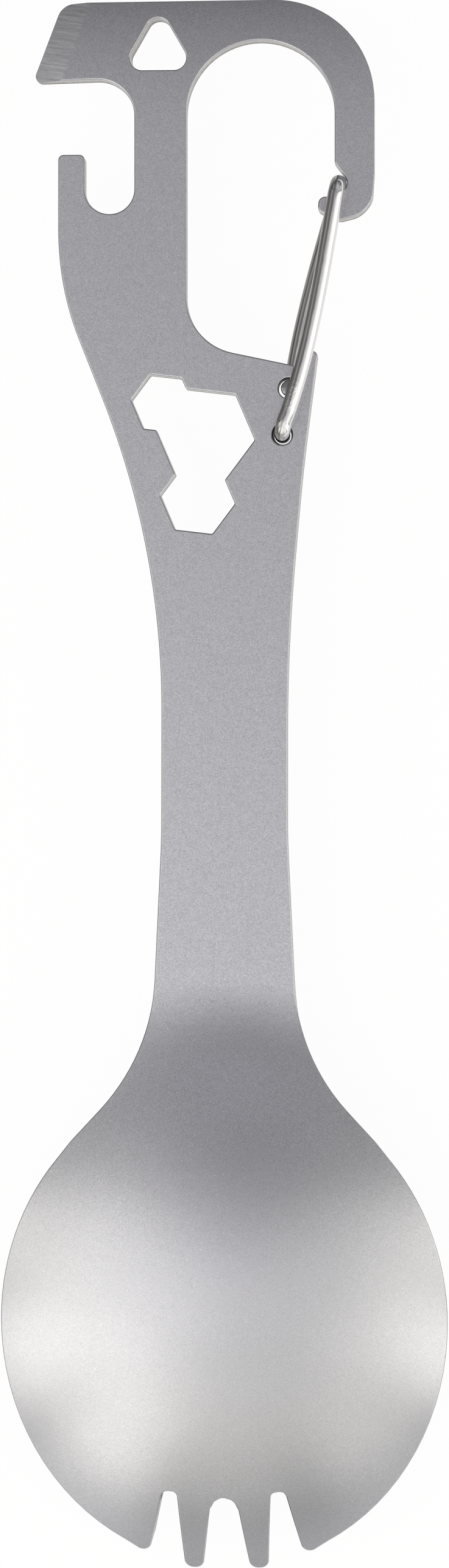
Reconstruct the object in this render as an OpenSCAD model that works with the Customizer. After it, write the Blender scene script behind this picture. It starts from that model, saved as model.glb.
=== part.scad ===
// Spork multi-tool: one stamped plate with a pressed bowl, and a sprung wire gate.
// Millimetres, +Z up. The head points to +Y and the tines to -Y, and the back of the bowl faces up.
// All plan dimensions are measured from the middle of the handle, on the plate's middle plane.

/* [Show] */
// Which sub-part to build

/* [Plate] */
// Thickness of the stamped plate
plate_t = 2.0; // [1.5:0.1:3]
// Y of the top edge at its right end
top_y = 73.97; // [70:0.1:78]
// Slope of the top edge, in degrees
top_slope = 1.05; // [0:0.05:3]
// Y that the tine tips reach
tip_y = -75.04; // [-78:0.1:-70]

/* [Bowl] */
// Y of the widest point of the bowl
bowl_y = -50.2; // [-55:0.1:-45]
// Half of the bowl's width
bowl_half_w = 21.12; // [18:0.1:24]
// Length of the bowl from its widest point to the tines
bowl_front = 24.8; // [20:0.1:28]
// Length of the bowl's round from its widest point towards the handle
bowl_back = 22.0; // [18:0.1:26]
// Radius of the pressed dome, on the plate's middle surface
dome_r = 38.8; // [30:0.1:60]
// Y of the dome's crown
dome_y = -46.5; // [-52:0.1:-42]
// How far the handle's bend rises to where it meets the dome, just inside the bowl's shoulders
bend_rise = 1.755; // [1:0.005:3]

/* [Tines] */
// Top of the two outer slots
slot_top_y = -66.8; // [-70:0.05:-62]
// Top of the centre slot
centre_slot_top_y = -67.45; // [-70:0.05:-62]
// Half width of the centre slot at its top
centre_slot_top = 0.80; // [0.4:0.05:1.5]
// Half width of the centre slot between the tips
centre_slot_mouth = 2.26; // [1:0.05:3]
// Corner radius at the top of the centre slot
centre_slot_r = 0.65; // [0.2:0.05:1]
// Inner side of an outer slot at its top
slot_in_top = 4.53; // [3:0.05:6]
// Outer side of an outer slot at its top
slot_out_top = 5.68; // [4:0.05:8]
// Corner radius at the top of an outer slot
slot_r = 0.5; // [0.2:0.05:1]
// Outer side of an inner tine at its tip
inner_tine_out = 4.0; // [3:0.05:5]
// Corner radius of an inner tine's tip
inner_tip_r = 0.86; // [0.3:0.01:1]
// Width of an outer tine's tip
outer_tip_w = 0.85; // [0.5:0.05:2]
// Y of the outer tines' tips
outer_tip_y = -73.5; // [-76:0.05:-70]
// Corner radius of an outer tine's tip
outer_tip_r = 0.5; // [0.2:0.05:1]

/* [Handle] */
// How much wider than the waist the neck is at the corner where the bowl's flank starts
neck_flare = 1.12; // [0.5:0.02:2]
// Y of that corner
neck_y = -25.5; // [-30:0.1:-20]
// Radius that eases the neck into the bowl
neck_r = 19; // [10:1:40]
// Half width at the waist
waist_half_w = 5.92; // [4:0.05:8]
// Y where the waist starts to widen to the bowl
waist_low_y = -5.0; // [-12:0.5:0]
// Y where the right side starts to widen to the head
waist_high_y = 13.3; // [5:0.1:20]
// Radius of the waist's long curves on the right
waist_r = 190; // [100:5:300]
// How much wider than the waist the right side is at its bend under the horn
right_flare = 1.44; // [0.5:0.02:3]
// Y of that bend
right_flare_y = 29.7; // [26:0.1:34]
// Y where the left side's slope meets the waist
left_slope_low_y = 22.2; // [18:0.1:26]
// Radius of the curve there
left_slope_low_r = 80; // [40:1:120]
// Y where the left side's slope meets the upright left edge
left_slope_high_y = 46.9; // [43:0.1:50]
// Radius of the curve there
left_slope_high_r = 28; // [10:1:40]

/* [Bottle opener] */
// Left edge of the hook post
post_left_x = -15.72; // [-18:0.05:-14]
// Top of the hook post
post_top_y = 59.37; // [57:0.05:62]
// Corner radius of the post's top
post_r = 0.5; // [0.2:0.05:1]
// Width of the hook post
post_w = 2.51; // [1.5:0.01:4]
// Y of the centre of the slot's round end
opener_slot_y = 56.2; // [54:0.1:58]
// Half width of the slot, the radius of its round end
opener_slot_r = 2.35; // [1.5:0.01:3]
// Underside of the upper jaw
jaw_y = 66.5; // [64:0.05:69]
// Radius in the jaw's corner
jaw_r = 3.5; // [1:0.1:5]

/* [Driver tip] */
// X of the lower corner of the tip
tip_low_x = -18.3; // [-20:0.05:-16]
// How far the jaw's underside falls to the tip
tip_fall = 0.3; // [0:0.05:1]
// X of the upper corner of the tip
tip_high_x = -15.45; // [-17:0.05:-13]
// Radius of the lower corner
tip_low_r = 0.7; // [0.3:0.05:2]
// Radius of the upper corner
tip_high_r = 1.6; // [0.5:0.05:3]
// Width of the ground face
grind_w = 2.3; // [1:0.1:4]
// Thickness left at the tip
grind_edge_t = 0.7; // [0.3:0.05:1.5]

/* [Eye and nose] */
// Radius of the eye's arch
arch_r = 7.0; // [5:0.05:9]
// Centre of the eye's arch
arch_at = [3.42, 63.16];
// Width of the head's band to the right of the eye
band_w = 3.75; // [2:0.05:6]
// Radius of the head's big round corner
head_r = 9.48; // [6:0.05:12]
// Corner at the lower left of the eye
eye_low_left_y = 41.6; // [38:0.05:45]
// Radius of that corner
eye_low_left_r = 5.46; // [3:0.05:7]
// X of the horn's tip on the right, beside the front leg
horn_x = 8.87; // [8:0.05:10]
// Height of the horn's foot over the upper pivot hole, which leaves the wall between the two
horn_foot_rise = 2.1; // [1.7:0.05:4]
// Width of the horn's top
horn_top_w = 1.12; // [0.9:0.02:2]
// Width of the horn's foot, where the eye's lower edge ends
horn_foot_w = 2.12; // [1.5:0.02:4]
// Height of the horn over its foot
horn_h = 1.4; // [0.8:0.05:3]
// Corner radius on the horn
horn_r = 0.5; // [0.2:0.05:1]
// How far the crown of the wire sits in from the eye's right wall
crown_in = 0.27; // [0:0.01:1]
// Y of the crown of the wire, which crosses the plate's edge in the nose's notch
crown_y = 56.64; // [55:0.05:58]
// Height of the notch's mouth over the crown
notch_rise = 1.9; // [1.4:0.05:3]
// Angle from the seat's centre to where its mouth's slope touches it, in degrees
notch_slope_angle = 37.3; // [20:0.5:60]
// Angle from the seat's centre to its lower lip, in degrees
notch_lip_angle = 230; // [200:1:260]
// Clearance between the wire and its seat in the notch
seat_gap = 0.15; // [0.05:0.01:0.5]
// The nose's corners, from the crown: the inner one between the seat and the lobe
lobe_in = [-0.71, -1.28];
// the lobe's upper corner
lobe_high = [-1.76, -1.31];
// the lobe's lower corner
lobe_low = [-1.89, -2.64];
// Radius of the lobe
lobe_r = 0.66; // [0.3:0.02:1.2]
// the nose's lowest corner
nose_low = [0.26, -3.36];
// the nose's middle corner
nose_mid = [2.61, -2.34];
// and how far under the crown the nose leaves the head's right edge
nose_drop = 0.74; // [0.2:0.02:2]
// Radius of the nose's corners
nose_r = 0.9; // [0.4:0.05:2]

/* [Cut-outs] */
// Middle of the triangular hole
tri_at = [-6.27, 69.45];
// Side of the triangle before its corners are rounded
tri_side = 7.0; // [5:0.05:9]
// Corner radius of the triangle
tri_r = 1.15; // [0.5:0.05:2]
// Turn of the hexagons, in degrees
hex_turn = -6.8; // [-30:0.1:30]
// Clearance across the flats over the nominal key size
hex_gap = 0.14; // [0:0.02:0.3]
// Nominal size of the small hexagon
hex_small = 5; // [4:0.5:6]
// Centre of the small hexagon, from the large one's
hex_small_at = [-4.04, 2.95];
// Nominal size of the large hexagon
hex_large = 8; // [7:0.5:10]
// Centre of the large hexagon
hex_large_at = [-1.80, 32.97];
// Nominal size of the medium hexagon
hex_medium = 6; // [5:0.5:7]
// Centre of the medium hexagon, from the large one's
hex_medium_at = [-0.72, -6.14];

/* [Gate] */
// Diameter of the spring wire
wire_d = 1.5; // [1:0.1:2]
// Clearance between a leg and the plate's face
wire_gap = 0.2; // [0.1:0.05:0.5]
// Radius of the wire's bends, on its centreline
wire_bend_r = 1.2; // [1:0.05:2]
// Diameter clearance of a pin in its hole
pin_gap = 0.45; // [0.1:0.01:0.6]
// Lower pivot hole, for the front leg
pivot_low = [5.47, 32.92];
// Upper pivot hole, for the back leg
pivot_high = [6.09, 37.30];

/* [Hidden] */
$fn = 96;
arc_step = 6;
half_t = plate_t / 2;
wire_r = wire_d / 2;
leg_z = half_t + wire_gap + wire_r;
seat_r = wire_r + seat_gap;
hole_r = (wire_d + pin_gap) / 2;
cut_h = 2 * dome_r;
crown_at = [arch_at[0] + arch_r + crown_in, crown_y];
head_right_x = arch_at[0] + arch_r + band_w;
horn_foot_y = pivot_high[1] + horn_foot_rise;
opener_slot = [post_left_x + post_w + opener_slot_r, opener_slot_y];

// The bowl's round runs between these two angles, measured at its centre. Its flanks are straight.
bowl_start_angle = -67;
bowl_end_angle = 42;
shoulder_x = bowl_half_w * cos(bowl_end_angle);
shoulder_y = bowl_y + bowl_back * sin(bowl_end_angle);
// Up to its shoulders the whole width of the bowl lies on the dome, which ends this far past them.
shoulder_margin = 0.3;
// The dome ends and the bend begins at this distance from the dome's axis
bend_in = norm([shoulder_x, shoulder_y - dome_y]) + shoulder_margin;
// and with this slope.
bend_angle = asin(bend_in / dome_r);
bend_r = bend_rise / (1 - cos(bend_angle));
bend_out = bend_in + bend_r * sin(bend_angle);
// The dome is a ball's cap. Its centre is this far under the plate's middle plane.
dome_drop = dome_r * cos(bend_angle) - bend_rise;
// A little of the flat handle is made with the bend.
flat_run = 0.5;
flat_from = dome_y + bend_out + flat_run;
// Cuts run past the plate by this much
overrun = 5;

// The object's box is centred in Y and stands on Z = 0, on the undersides of the inner tines.
mid_y = (top_y + tip_y) / 2;
tip_reach = norm([(centre_slot_mouth + inner_tine_out) / 2, tip_y - dome_y]);
lift = dome_drop - sqrt(pow(dome_r - half_t, 2) - pow(tip_reach, 2));

function unit(v) = v / norm(v);
function turned(v, a) = [v[0] * cos(a) - v[1] * sin(a), v[0] * sin(a) + v[1] * cos(a)];
function at_angle(c, r, a) = c + [r * cos(a), r * sin(a)];

// The points of the arc that rounds corner b, on the way from a to c
function corner_arc(a, b, c, r) =
    let (u = unit(a - b), v = unit(c - b), half = acos(u * v) / 2)
    let (centre = b + unit(u + v) * r / sin(half), start = b + u * r / tan(half) - centre)
    let (sweep = 180 - 2 * half, steps = max(2, ceil(sweep / arc_step)))
    let (way = u[0] * v[1] - u[1] * v[0] < 0 ? 1 : -1)
    [for (i = [0:steps]) centre + turned(start, way * sweep * i / steps)];

// A closed path through corners given as [x, y, radius]
function rounded(corners) =
    let (n = len(corners))
    [for (i = [0:n - 1])
        let (a = corners[(i + n - 1) % n], b = corners[i], c = corners[(i + 1) % n])
        each b[2] > 0
            ? corner_arc([a[0], a[1]], [b[0], b[1]], [c[0], c[1]], b[2])
            : [[b[0], b[1]]]];

// Y of the sloping top edge, which the head's big round meets
function top_edge_y(x) = top_y + (x - head_right_x + head_r) * tan(top_slope);
tip_high = [tip_high_x, top_edge_y(tip_high_x)];
tip_low = [tip_low_x, jaw_y - tip_fall];

function corner(p, r) = [p[0], p[1], r];
function mirrored(path) = [for (i = [len(path) - 1:-1:0]) [-path[i][0], path[i][1], path[i][2]]];

// Right half of the bowl's round, from the outer tine up to the neck
bowl_round = [for (t = [bowl_start_angle:arc_step:-1]) [bowl_half_w * cos(t), bowl_y + bowl_front * sin(t), 0]];
bowl_shoulder = [for (t = [0:arc_step:bowl_end_angle + 1])
    [bowl_half_w * cos(t), bowl_y + bowl_back * sin(t), 0]];

right_half_low = concat(
    [
        [centre_slot_top, centre_slot_top_y, centre_slot_r],
        [centre_slot_mouth, tip_y, inner_tip_r],
        [inner_tine_out, tip_y, inner_tip_r],
        [slot_in_top, slot_top_y, slot_r],
        [slot_out_top, slot_top_y, slot_r],
        [bowl_half_w * cos(bowl_start_angle) - outer_tip_w, outer_tip_y, outer_tip_r]
    ],
    bowl_round,
    bowl_shoulder,
    [[waist_half_w + neck_flare, neck_y, neck_r], [waist_half_w, waist_low_y, waist_r / 2]]
);

right_side_high = [
    [waist_half_w, waist_high_y, waist_r],
    [waist_half_w + right_flare, right_flare_y, waist_r],
    [horn_x, horn_foot_y + horn_h, horn_r],
    [horn_x - horn_top_w, horn_foot_y + horn_h, horn_r],
    [horn_x - horn_foot_w, horn_foot_y, horn_r],
    [arch_at[0] - arch_r, eye_low_left_y, eye_low_left_r],
    [arch_at[0] - arch_r, arch_at[1], 0],
    [arch_at[0] + arch_r, arch_at[1], 0],
    [arch_at[0] + arch_r, crown_y + notch_rise, nose_r / 3],
    corner(at_angle(crown_at, seat_r, notch_slope_angle), 0),
    corner(at_angle(crown_at, seat_r, notch_lip_angle), 0),
    corner(crown_at + lobe_in, nose_r / 4),
    corner(crown_at + lobe_high, lobe_r),
    corner(crown_at + lobe_low, lobe_r),
    corner(crown_at + nose_low, nose_r),
    corner(crown_at + nose_mid, nose_r * 3),
    [head_right_x, crown_y - nose_drop, nose_r],
    [head_right_x, top_edge_y(head_right_x), head_r]
];

left_side_high = [
    corner(tip_high, tip_high_r),
    corner(tip_low, tip_low_r),
    [opener_slot[0] + opener_slot_r, jaw_y, jaw_r],
    [opener_slot[0] + opener_slot_r, opener_slot[1], 0],
    [opener_slot[0] - opener_slot_r, opener_slot[1], 0],
    [opener_slot[0] - opener_slot_r, post_top_y, post_r],
    [post_left_x, post_top_y, post_r],
    [post_left_x, left_slope_high_y, left_slope_high_r],
    [-waist_half_w, left_slope_low_y, left_slope_low_r]
];

outline_path = rounded(concat(
    right_half_low,
    right_side_high,
    left_side_high,
    mirrored(right_half_low)
));

module in_frame() {
    translate([0, -mid_y, lift]) children();
}

module outline() {
    polygon(outline_path);
}

// Section of the pressed sheet's ball, from its crown down to its middle
module ball_section() {
    translate([0, -dome_drop])
        intersection() {
            difference() {
                circle(r = dome_r + half_t);
                circle(r = dome_r - half_t);
            }
            square(2 * dome_r);
        }
}

// Section of the dome as far as the bend, with its end square to the sheet
module dome_section() {
    reach = 2 * dome_r;
    intersection() {
        ball_section();
        translate([0, -dome_drop])
            polygon([[0, 0], [0, reach], reach * [sin(bend_angle), cos(bend_angle)]]);
    }
}

// The bend between the dome and the flat handle, and a short flat beyond it
module bend_section() {
    foot = 2 * bend_r * [sin(bend_angle), cos(bend_angle)];
    intersection() {
        translate([bend_out, bend_r])
            difference() {
                circle(r = bend_r + half_t);
                circle(r = bend_r - half_t);
            }
        translate([bend_out, bend_r])
            polygon([[0, 0], -foot, [-foot[0], -2 * bend_r], [0, -2 * bend_r]]);
    }
    translate([bend_out, -half_t]) square([bend_r, plate_t]);
}

// The outline as a tall block, between two stations along the handle
module outline_block(from, to) {
    intersection() {
        translate([0, 0, -cut_h / 2]) linear_extrude(cut_h) outline();
        translate([-2 * bowl_half_w, from, -cut_h / 2]) cube([4 * bowl_half_w, to - from, cut_h]);
    }
}

// The bowl's front, where the sheet follows the dome all the way to the rim
module bowl_front_part() {
    intersection() {
        outline_block(tip_y - overrun, shoulder_y);
        translate([0, dome_y, 0]) rotate_extrude() ball_section();
    }
}

// The neck side, where the dome eases into the flat handle
module neck_part() {
    intersection() {
        outline_block(shoulder_y, flat_from);
        translate([0, dome_y, 0]) rotate_extrude() {
            dome_section();
            bend_section();
        }
    }
}

module flat_part() {
    intersection() {
        outline_block(flat_from, top_y + overrun);
        translate([-2 * bowl_half_w, flat_from - overrun, -half_t])
            cube([4 * bowl_half_w, top_y - flat_from + 3 * overrun, plate_t]);
    }
}

module rounded_triangle() {
    polygon(rounded([for (a = [90, 210, 330]) corner(at_angle([0, 0], tri_side / sqrt(3), a), tri_r)]));
}

module hexagon(size) {
    rotate([0, 0, hex_turn]) circle(r = (size + hex_gap) / sqrt(3), $fn = 6);
}

module cut_outs() {
    translate([0, 0, -cut_h / 2]) {
        translate(arch_at) cylinder(r = arch_r, h = cut_h);
        translate(opener_slot) cylinder(r = opener_slot_r, h = cut_h);
        translate(crown_at) cylinder(r = seat_r, h = cut_h);
        translate(pivot_low) cylinder(r = hole_r, h = cut_h);
        translate(pivot_high) cylinder(r = hole_r, h = cut_h);
        translate(tri_at) linear_extrude(cut_h) rounded_triangle();
        translate(hex_large_at + hex_small_at) linear_extrude(cut_h) hexagon(hex_small);
        translate(hex_large_at) linear_extrude(cut_h) hexagon(hex_large);
        translate(hex_large_at + hex_medium_at) linear_extrude(cut_h) hexagon(hex_medium);
    }
}

// The wedge ground off the front of the driver tip
module tip_grind() {
    along = unit(tip_low - tip_high);
    outwards = [along[1], -along[0]];
    start = tip_high - outwards * grind_w;
    translate([start[0], start[1], half_t])
        rotate([0, 0, atan2(outwards[1], outwards[0])])
        rotate([0, atan2(plate_t - grind_edge_t, grind_w), 0])
        translate([0, -cut_h / 2, 0])
        cube([4 * grind_w, cut_h, cut_h]);
}

module spork_body() {
    color([0.62, 0.62, 0.64])
    in_frame() {
        bowl_front_part();
        neck_part();
        difference() {
            flat_part();
            cut_outs();
            tip_grind();
        }
    }
}

// A quarter bend from level, heading away from the given direction, up to upright
module wire_bend(heading) {
    rotate([0, 0, heading + 180])
        rotate([90, 0, 0])
        rotate_extrude(angle = 90)
        translate([wire_bend_r, 0])
        circle(r = wire_r);
}

// One side of the gate, over the plate: its pin, its leg and its half of the crown.
// The pin stands at the origin and the crown at the given length along +Y.
module wire_side(length) {
    bend_z = leg_z - wire_bend_r;
    // The pin ends flush with the plate's far face
    translate([0, 0, -half_t]) cylinder(r = wire_r, h = bend_z + half_t);
    translate([0, wire_bend_r, bend_z]) wire_bend(90);
    translate([0, wire_bend_r, leg_z]) rotate([-90, 0, 0])
        cylinder(r = wire_r, h = length - 2 * wire_bend_r);
    translate([0, length - wire_bend_r, bend_z]) wire_bend(-90);
    translate([0, length, 0]) cylinder(r = wire_r, h = bend_z);
}

module gate_front_leg() {
    way = crown_at - pivot_low;
    color([0.80, 0.80, 0.82])
    in_frame()
    translate(pivot_low)
    rotate([0, 0, atan2(way[1], way[0]) - 90])
    wire_side(norm(way));
}

module gate_back_leg() {
    way = crown_at - pivot_high;
    color([0.74, 0.74, 0.76])
    in_frame()
    translate(crown_at)
    rotate([0, 0, atan2(way[1], way[0]) - 90])
    mirror([0, 0, 1])
    translate([0, -norm(way), 0])
    wire_side(norm(way));
}

spork_body();
gate_front_leg();
gate_back_leg();
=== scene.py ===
"""A spork multi-tool: one stamped plate with a pressed bowl, and a sprung wire gate.

The plate is drawn flat, as the sheet is before the press, gets its thickness, its tumbled edges
and its ground driver tip, and is then bent over the dome. The gate is drawn wire, bowed a little.
Sizes are in millimetres, measured from the middle of the handle on the plate's middle plane.
"""

from __future__ import annotations

import logging
import math
from dataclasses import dataclass, field
from enum import Enum

import bmesh
import bpy
from mathutils import Matrix, Vector
from mathutils.geometry import intersect_line_line

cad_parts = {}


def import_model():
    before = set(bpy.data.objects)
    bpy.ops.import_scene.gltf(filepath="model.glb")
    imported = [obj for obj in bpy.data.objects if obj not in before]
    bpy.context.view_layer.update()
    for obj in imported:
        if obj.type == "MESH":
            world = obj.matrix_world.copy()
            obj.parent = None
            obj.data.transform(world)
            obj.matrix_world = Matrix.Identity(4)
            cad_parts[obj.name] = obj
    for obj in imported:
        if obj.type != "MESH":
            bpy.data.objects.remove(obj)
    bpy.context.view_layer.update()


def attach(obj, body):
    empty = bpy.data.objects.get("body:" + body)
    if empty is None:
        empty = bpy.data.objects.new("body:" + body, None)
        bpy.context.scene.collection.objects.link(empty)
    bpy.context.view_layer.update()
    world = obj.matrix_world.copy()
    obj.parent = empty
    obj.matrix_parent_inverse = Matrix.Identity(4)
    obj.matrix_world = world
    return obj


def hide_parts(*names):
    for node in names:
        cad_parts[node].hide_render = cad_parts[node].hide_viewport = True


LOG = logging.getLogger("spork")

MM = 0.001
# The frame's origin, seen from the middle of the handle: halfway along the piece, on the ground.
MID_Y = -0.535
LIFT = 7.2132
TO_FRAME = Matrix.Scale(MM, 4) @ Matrix.Translation((0.0, -MID_Y, LIFT))
# Vertices closer than this are one, and a cut that passes closer goes through them.
TOUCH = 1e-5


class Surface(Enum):
    """The kinds of surface on the plate. The value is the material index."""

    FRONT = 0
    BACK = 1
    WALL = 2
    RIM = 3
    BORE = 4


@dataclass(frozen=True)
class Corner:
    """A corner of an outline and the radius that rounds it."""

    x: float
    y: float
    r: float = 0.0

    @property
    def point(self) -> Vector:
        """The corner without its radius."""
        return Vector((self.x, self.y))


@dataclass(frozen=True)
class Pen:
    """Draws closed outlines with rounded corners.

    Attributes:
        step: most degrees between two points of an arc.
        chord: most millimetres between them.
    """

    step: float = 5.0
    chord: float = 1.0

    def arc(self, before: Vector, at: Vector, after: Vector, r: float) -> list[Vector]:
        """Rounds one corner.

        Args:
            before: the corner before it.
            at: the corner itself.
            after: the corner after it.
            r: its radius.

        Returns:
            The points of the arc, from the first side to the second.
        """
        u, v = (before - at).normalized(), (after - at).normalized()
        half = math.acos(max(-1.0, min(1.0, u.dot(v)))) / 2
        centre = at + (u + v).normalized() * r / math.sin(half)
        start = at + u * r / math.tan(half) - centre
        sweep = math.pi - 2 * half
        steps = max(2, math.ceil(math.degrees(sweep) / self.step), math.ceil(sweep * r / self.chord))
        way = 1.0 if u.x * v.y - u.y * v.x < 0 else -1.0
        return [
            centre + Matrix.Rotation(way * sweep * i / steps, 2) @ start
            for i in range(steps + 1)
        ]

    def closed(self, corners: list[Corner]) -> list[Vector]:
        """Draws a closed outline.

        Args:
            corners: its corners in order.

        Returns:
            The outline's points.
        """
        points: list[Vector] = []
        for before, at, after in zip(corners[-1:] + corners[:-1], corners, corners[1:] + corners[:1]):
            if at.r > 0:
                points += self.arc(before.point, at.point, after.point, at.r)
            else:
                points.append(at.point)
        return points

    def round(self, centre: tuple[float, float], r: float, start: float, end: float) -> list[Corner]:
        """Points on a circle from one angle to another, as corners with no radius.

        Args:
            centre: the circle's centre.
            r: its radius.
            start: the first angle, in degrees.
            end: the last angle, in degrees.

        Returns:
            The points in order.
        """
        steps = max(2, math.ceil(abs(end - start) / self.step))
        angles = [math.radians(start + (end - start) * i / steps) for i in range(steps + 1)]
        return [Corner(centre[0] + r * math.cos(a), centre[1] + r * math.sin(a)) for a in angles]


@dataclass(frozen=True)
class PlateOutline:
    """The stamped outline of the plate and its holes, seen from the front.

    Attributes:
        pen: draws the outline.
        tine_y: the ends of the two inner tines.
        tine_ease: radius of their corners.
        gap_y: the roots of the two outer gaps between the tines.
        gap_ease: radius of their corners.
        root_y: where the middle gap's rounded root starts.
        root_half_w: half its width there.
        root_rise: how far it reaches from there.
        bowl_y: where the bowl is widest.
        bowl_half_w: half its width there.
        bowl_front: how far its round reaches from there to the tines.
        bowl_back: how far it reaches to the neck.
        waist: half the width of the handle's narrowest place.
        crown: where the wire's crown crosses the plate, in the nose's seat.
        seat_r: the seat's radius.
        arch: the middle of the eye's round top.
        arch_r: its radius.
        head_x: the head's right side.
        top_y: the head's top.
        tip_high: the upper end of the driver tip's edge.
        tip_low: the lower end of that edge.
        jaw_y: the lower side of the jaw over the opener's mouth.
        opener_x: the middle of the opener's slot.
        opener_y: where the slot's round end starts.
        opener_r: the radius of that end.
        post_x: the left side of the opener's post.
        post_y: the top of the post.
        key_turn: the turn of the key cut-outs, in degrees.
        key_gap: what they are wider than their keys.
        key_ease: radius of their corners.
        large_key: the middle of the 8 mm cut-out.
        small_key: the middle of the 5 mm cut-out.
        medium_key: the middle of the 6 mm cut-out.
        pivot_low: the middle of the front pin's bore.
        pivot_high: the middle of the back pin's bore.
        pivot_r: the radius of both bores.
        triangle_at: the middle of the triangular hole.
        triangle_reach: how far its corners are from there before they are rounded.
        triangle_ease: radius of its corners.
    """

    pen: Pen = field(default_factory=Pen)
    tine_y: float = -75.04
    tine_ease: float = 0.86
    gap_y: float = -66.75
    gap_ease: float = 0.6
    root_y: float = -69.11
    root_half_w: float = 1.41
    root_rise: float = 1.75
    bowl_y: float = -50.8
    bowl_half_w: float = 21.12
    bowl_front: float = 24.1
    bowl_back: float = 23.2
    waist: float = 5.92
    crown: tuple[float, float] = (10.69, 56.64)
    seat_r: float = 0.9
    arch: tuple[float, float] = (3.42, 63.16)
    arch_r: float = 7.0
    head_x: float = 14.17
    top_y: float = 74.02
    tip_high: tuple[float, float] = (-15.45, 73.86)
    tip_low: tuple[float, float] = (-18.3, 66.4)
    jaw_y: float = 66.68
    opener_x: float = -10.86
    opener_y: float = 56.2
    opener_r: float = 2.35
    post_x: float = -15.72
    post_y: float = 59.48
    key_turn: float = -6.8
    key_gap: float = 0.14
    key_ease: float = 0.22
    large_key: tuple[float, float] = (-1.80, 32.97)
    small_key: tuple[float, float] = (-5.84, 35.92)
    medium_key: tuple[float, float] = (-2.52, 26.83)
    pivot_low: tuple[float, float] = (5.47, 32.92)
    pivot_high: tuple[float, float] = (6.09, 37.30)
    pivot_r: float = 0.975
    triangle_at: tuple[float, float] = (-6.27, 69.45)
    triangle_reach: float = 4.04
    triangle_ease: float = 1.15

    def half_bowl(self) -> list[Corner]:
        """The right half of the tines, the bowl and the neck, from the middle gap up.

        Returns:
            Its corners in order.
        """
        root = [
            Corner(self.root_half_w * math.cos(t), self.root_y + self.root_rise * math.sin(t))
            for t in (math.radians(a) for a in range(84, 6, -8))
        ]
        tines = [
            Corner(2.26, self.tine_y, self.tine_ease),
            Corner(4.00, self.tine_y, self.tine_ease),
            Corner(4.45, self.gap_y, self.gap_ease),
            Corner(5.78, self.gap_y, self.gap_ease),
            Corner(7.45, -73.75, 0.85),
        ]
        front = [(math.radians(a), self.bowl_front) for a in range(-63, 0, 4)]
        back = [(math.radians(a), self.bowl_back) for a in range(0, 40, 3)]
        bowl = [
            Corner(self.bowl_half_w * math.cos(t), self.bowl_y + reach * math.sin(t))
            for t, reach in front + back
        ]
        neck = [
            Corner(14.4, -33.65, 6.0),
            Corner(6.93, -25.6, 19.0),
            Corner(self.waist + 0.03, -5.0, 95.0),
        ]
        return root + tines + bowl + neck

    def right_side(self) -> list[Corner]:
        """From the waist up the right side, round the eye and the nose to the top right corner.

        Returns:
            The corners in order.
        """
        seat = self.pen.round(self.crown, self.seat_r, 37.3, -108.0)
        arch_right = self.arch[0] + self.arch_r
        return [
            # Up the handle's side and over the horn at the gate's foot into the eye.
            Corner(self.waist + 0.06, 13.3, 190.0),
            Corner(7.44, 29.7, 190.0),
            Corner(8.87, 40.8, 0.5),
            Corner(7.75, 40.8, 0.5),
            Corner(6.75, 39.4, 0.5),
            Corner(self.arch[0] - self.arch_r, 41.6, 5.46),
            # Round the eye's top.
            *self.pen.round(self.arch, self.arch_r, 180.0, 0.0),
            # Down to the nose, with the seat that the gate's crown shuts into.
            Corner(arch_right, 58.54, 0.35),
            *seat,
            Corner(10.11, 55.95, 0.24),
            Corner(9.98, 55.36, 0.25),
            Corner(8.93, 55.33, 0.66),
            Corner(8.80, 54.0, 0.66),
            Corner(10.95, 53.1, 0.9),
            Corner(12.95, 53.6, 2.6),
            Corner(14.0, 55.0, 2.0),
            # Up the head's right side.
            Corner(self.head_x, 57.5, 6.0),
            Corner(self.head_x, self.top_y, 9.48),
        ]

    def left_side(self) -> list[Corner]:
        """From the driver tip down the opener and the left side to the waist.

        Returns:
            The corners in order.
        """
        slot_left, slot_right = self.opener_x - self.opener_r, self.opener_x + self.opener_r
        return [
            # The driver tip and the jaw over the opener's mouth.
            Corner(*self.tip_high, 1.6),
            Corner(*self.tip_low, 0.7),
            Corner(slot_right, self.jaw_y, 3.5),
            # Round the slot's end and over the post.
            *self.pen.round((self.opener_x, self.opener_y), self.opener_r, 0.0, -180.0),
            Corner(slot_left, self.post_y, 0.5),
            Corner(self.post_x, self.post_y, 0.5),
            # Down the handle's side.
            Corner(self.post_x, 46.9, 28.0),
            Corner(-self.waist, 22.2, 80.0),
        ]

    def outer(self) -> list[Vector]:
        """The closed outer outline.

        Returns:
            Its points.
        """
        right = self.half_bowl()
        left = [Corner(-c.x, c.y, c.r) for c in reversed(right)]
        return self.pen.closed(right + self.right_side() + self.left_side() + left)

    def triangle(self) -> list[Vector]:
        """The rounded triangular hole.

        Returns:
            Its points.
        """
        (x, y), reach = self.triangle_at, self.triangle_reach
        turns = [math.radians(a) for a in (90, 210, 330)]
        corners = [
            Corner(x + reach * math.cos(t), y + reach * math.sin(t), self.triangle_ease)
            for t in turns
        ]
        return self.pen.closed(corners)

    def hexagon(self, centre: tuple[float, float], key: float) -> list[Vector]:
        """The corners of one key cut-out.

        Args:
            centre: its centre.
            key: the key's nominal size across the flats.

        Returns:
            Its six corners, from the one on the right and counter-clockwise.
        """
        (x, y), reach = centre, (key + self.key_gap) / math.sqrt(3)
        turns = [math.radians(self.key_turn + 60 * i) for i in range(6)]
        return [Vector((x + reach * math.cos(t), y + reach * math.sin(t))) for t in turns]

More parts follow.
